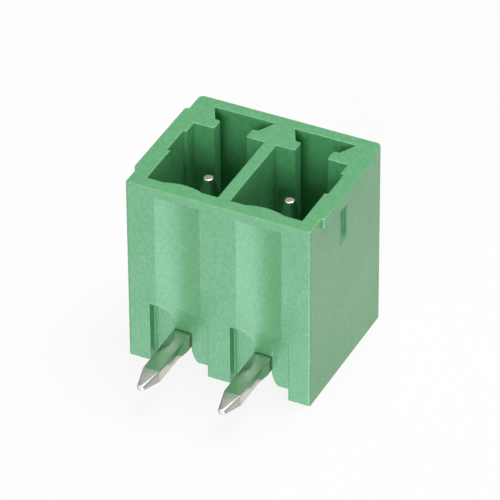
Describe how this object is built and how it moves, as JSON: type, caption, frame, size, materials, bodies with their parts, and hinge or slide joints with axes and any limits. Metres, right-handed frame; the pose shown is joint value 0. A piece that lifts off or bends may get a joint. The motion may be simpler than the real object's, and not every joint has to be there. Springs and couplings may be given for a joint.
{
  "type": "right-angle terminal block header",
  "caption": "Right-angle board header for a pluggable terminal block: a closed-end green housing with keyed plug cells and bent square pins",
  "frame": {"origin": "centre of the rear face, on which the header stands, midway between the poles", "axes": "+Z is the way the plug cells open, which is the mating direction; X runs across the poles; -Y is the board side, where the solder pins come out"},
  "size_m": [0.009, 0.0108, 0.0092],
  "materials": {
    "housing_plastic": "satin moulded polyamide, signal green",
    "tinned_pin": "bright tin plating on brass"
  },
  "bodies": {
    "root": {"housing": "housing_plastic", "pin_1": "tinned_pin", "pin_2": "tinned_pin"}
  },
  "joints": []
}
